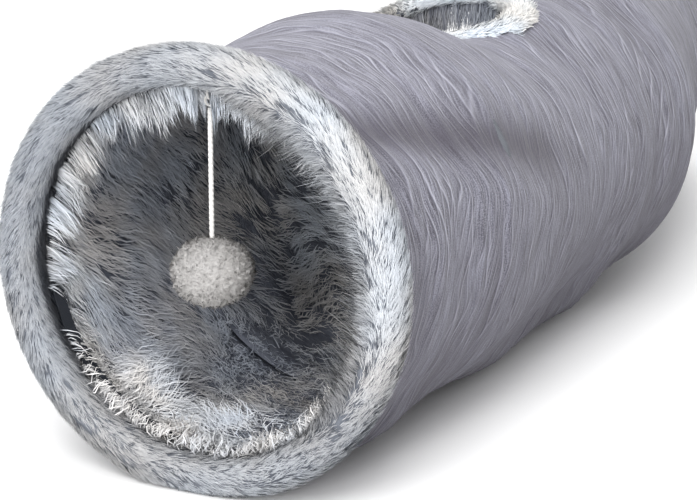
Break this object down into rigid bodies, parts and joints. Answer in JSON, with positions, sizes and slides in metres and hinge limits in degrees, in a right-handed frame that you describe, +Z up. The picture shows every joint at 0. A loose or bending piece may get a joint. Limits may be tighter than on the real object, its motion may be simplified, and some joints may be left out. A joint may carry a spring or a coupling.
{
  "type": "furry pet tunnel",
  "caption": "Soft collapsible pet tunnel with a gentle bend, furry rolled mouths, a furry peephole in its top and a pom-pom hanging in its front mouth.",
  "frame": {"origin": "on the floor, under the middle of the front roll", "axes": "+Y into the front mouth, +Z up; the tunnel bends towards -X"},
  "size_m": [0.5138, 1.2632, 0.296],
  "materials": {
    "suede": "short-nap suede",
    "plush": "long-pile plush",
    "rim_fur": "faux fur",
    "white_fur": "faux fur",
    "spring_steel": "drawn wire",
    "tape": "woven tape",
    "thread": "braided cord",
    "pompom_yarn": "yarn"
  },
  "bodies": {
    "front_end": {"front_rim_fur": "rim_fur", "front_rim_wire": "spring_steel", "front_rim_casing": "tape", "front_seam_tape": "tape", "anchor_loop": "thread", "cover_bay_1": "suede", "lining_bay_1": "plush"},
    "hoop_1": {"hoop_1_wire": "spring_steel", "hoop_1_casing": "tape", "cover_bay_2": "suede", "lining_bay_2": "plush", "peephole_fur": "white_fur"},
    "hoop_2": {"hoop_2_wire": "spring_steel", "hoop_2_casing": "tape", "cover_bay_3": "suede", "lining_bay_3": "plush"},
    "hoop_3": {"hoop_3_wire": "spring_steel", "hoop_3_casing": "tape", "cover_bay_4": "suede", "lining_bay_4": "plush"},
    "rear_end": {"rear_rim_fur": "rim_fur", "rear_rim_wire": "spring_steel", "rear_rim_casing": "tape", "rear_seam_tape": "tape"},
    "swing_link": {"swing_link": "thread"},
    "pompom": {"cord_eye": "thread", "pompom_cord": "thread", "pompom_ball": "pompom_yarn"}
  },
  "joints": [
    {"name": "bay_1_fold", "type": "slide", "parent": "front_end", "child": "hoop_1", "axis": [0, -1, 0], "range_m": [0, 0.13], "stiffness_N_per_m": 20, "deforming": ["cover_bay_1", "lining_bay_1"]},
    {"name": "bay_2_fold", "type": "slide", "parent": "hoop_1", "child": "hoop_2", "axis": [0.0393, -0.9992, 0], "range_m": [0, 0.26], "deforming": ["cover_bay_2", "lining_bay_2", "peephole_fur"]},
    {"name": "bay_3_fold", "type": "hinge", "parent": "hoop_2", "child": "hoop_3", "pos_m": [-0.92961, 0.52766, 0.146], "axis": [0, 0, -1], "range_deg": [0, 16.25], "deforming": ["cover_bay_3", "lining_bay_3"]},
    {"name": "bay_4_fold", "type": "hinge", "parent": "hoop_3", "child": "rear_end", "pos_m": [-0.92961, 0.52766, 0.146], "axis": [0, 0, -1], "range_deg": [0, 8.12], "deforming": ["cover_bay_4", "lining_bay_4"]},
    {"name": "swing_in_out", "type": "hinge", "parent": "front_end", "child": "swing_link", "pos_m": [0, 0.01879, 0.2633], "axis": [1, 0, 0], "range_deg": [-45, 60]},
    {"name": "swing_sideways", "type": "hinge", "parent": "swing_link", "child": "pompom", "pos_m": [0, 0.01879, 0.2586], "axis": [0, 1, 0], "range_deg": [-40, 40]}
  ],
  "couplings": [
    {"joint": "bay_2_fold", "follows": "bay_1_fold", "ratio": 2},
    {"joint": "bay_3_fold", "follows": "bay_1_fold", "rad_per_m": 2.1817},
    {"joint": "bay_4_fold", "follows": "bay_1_fold", "rad_per_m": 1.0908}
  ]
}
